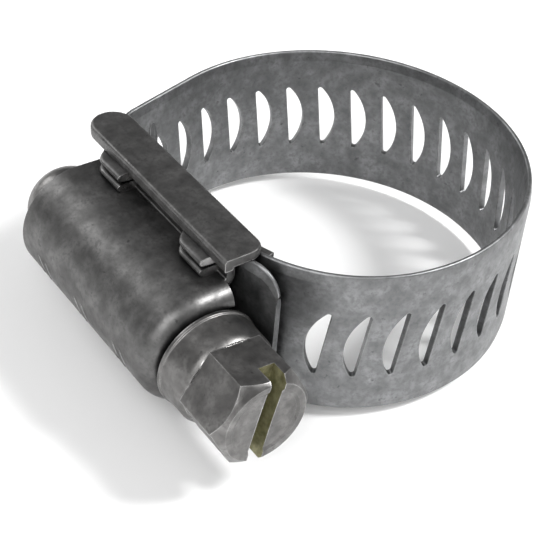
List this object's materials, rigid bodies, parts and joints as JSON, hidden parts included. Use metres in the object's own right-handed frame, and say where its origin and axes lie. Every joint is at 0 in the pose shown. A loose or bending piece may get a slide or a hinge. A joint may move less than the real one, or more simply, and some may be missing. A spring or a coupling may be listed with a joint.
{
  "type": "hose clamp",
  "caption": "Worm-drive hose clamp: a slotted steel band loop, a barrel housing, a curled saddle and a hex-head worm screw that tightens the loop.",
  "frame": {"origin": "centre of the round part of the loop, at the middle of the band's width", "axes": "+Z along the hose, +X along the screw towards its hex head, -Y out through the screw housing"},
  "size_m": [0.0353, 0.0416, 0.016],
  "materials": {
    "band": "satin rolled stainless steel, lightly mottled, with bare sheared edges",
    "housing": "tumbled stainless sheet, darker and slightly brown, bright where it rubs",
    "saddle": "tumbled stainless sheet, bright along its bent edges",
    "screw": "plated steel, with a faint yellow tint in the screwdriver slot"
  },
  "bodies": {
    "frame": {"housing": "housing", "saddle": "saddle", "band_seat": "band"},
    "screw": {"screw": "screw"},
    "lip": {"band_lip": "band"},
    "link_1": {"band_link_1": "band"},
    "link_2": {"band_link_2": "band"},
    "link_3": {"band_link_3": "band"},
    "link_4": {"band_link_4": "band"},
    "link_5": {"band_link_5": "band"},
    "link_6": {"band_link_6": "band"},
    "link_7": {"band_link_7": "band"},
    "tail": {"band_tail": "band"}
  },
  "joints": [
    {"name": "screw_spin", "type": "hinge", "parent": "frame", "child": "screw", "pos_m": [0, -0.01915, 0], "axis": [-1, 0, 0], "range_deg": [-180, 0]},
    {"name": "band_bend_1", "type": "hinge", "parent": "frame", "child": "link_1", "pos_m": [0.01641, -0.00371, 0], "axis": [0, 0, 1], "range_deg": [-0.1, 2.09]},
    {"name": "band_bend_2", "type": "hinge", "parent": "link_1", "child": "link_2", "pos_m": [0.01662, 0.0026, 0], "axis": [0, 0, 1], "range_deg": [-0.1, 0.87]},
    {"name": "band_bend_3", "type": "hinge", "parent": "link_2", "child": "link_3", "pos_m": [0.01263, 0.01111, 0], "axis": [0, 0, 1], "range_deg": [-0.99, 0.1]},
    {"name": "band_bend_4", "type": "hinge", "parent": "link_3", "child": "link_4", "pos_m": [0.0047, 0.01615, 0], "axis": [0, 0, 1], "range_deg": [-1.97, 0.1]},
    {"name": "band_bend_5", "type": "hinge", "parent": "link_4", "child": "link_5", "pos_m": [-0.0047, 0.01615, 0], "axis": [0, 0, 1], "range_deg": [-1.97, 0.1]},
    {"name": "band_bend_6", "type": "hinge", "parent": "link_5", "child": "link_6", "pos_m": [-0.01263, 0.01111, 0], "axis": [0, 0, 1], "range_deg": [-0.99, 0.1]},
    {"name": "band_bend_7", "type": "hinge", "parent": "link_6", "child": "link_7", "pos_m": [-0.01662, 0.0026, 0], "axis": [0, 0, 1], "range_deg": [-0.1, 0.87]},
    {"name": "band_bend_8", "type": "hinge", "parent": "link_7", "child": "tail", "pos_m": [-0.01641, -0.00371, 0], "axis": [0, 0, 1], "range_deg": [-0.1, 2.09]},
    {"name": "lip_bend", "type": "hinge", "parent": "frame", "child": "lip", "pos_m": [-0.006, -0.01398, 0], "axis": [0, 0, 1], "range_deg": [-0.2, 10.2]}
  ],
  "couplings": [
    {"joint": "band_bend_1", "follows": "screw_spin", "ratio": -0.011072},
    {"joint": "band_bend_2", "follows": "screw_spin", "ratio": -0.0042553},
    {"joint": "band_bend_3", "follows": "screw_spin", "ratio": 0.0049395},
    {"joint": "band_bend_4", "follows": "screw_spin", "ratio": 0.010387},
    {"joint": "band_bend_5", "follows": "screw_spin", "ratio": 0.010387},
    {"joint": "band_bend_6", "follows": "screw_spin", "ratio": 0.0049395},
    {"joint": "band_bend_7", "follows": "screw_spin", "ratio": -0.0042553},
    {"joint": "band_bend_8", "follows": "screw_spin", "ratio": -0.011072},
    {"joint": "lip_bend", "follows": "screw_spin", "ratio": -0.055556}
  ]
}
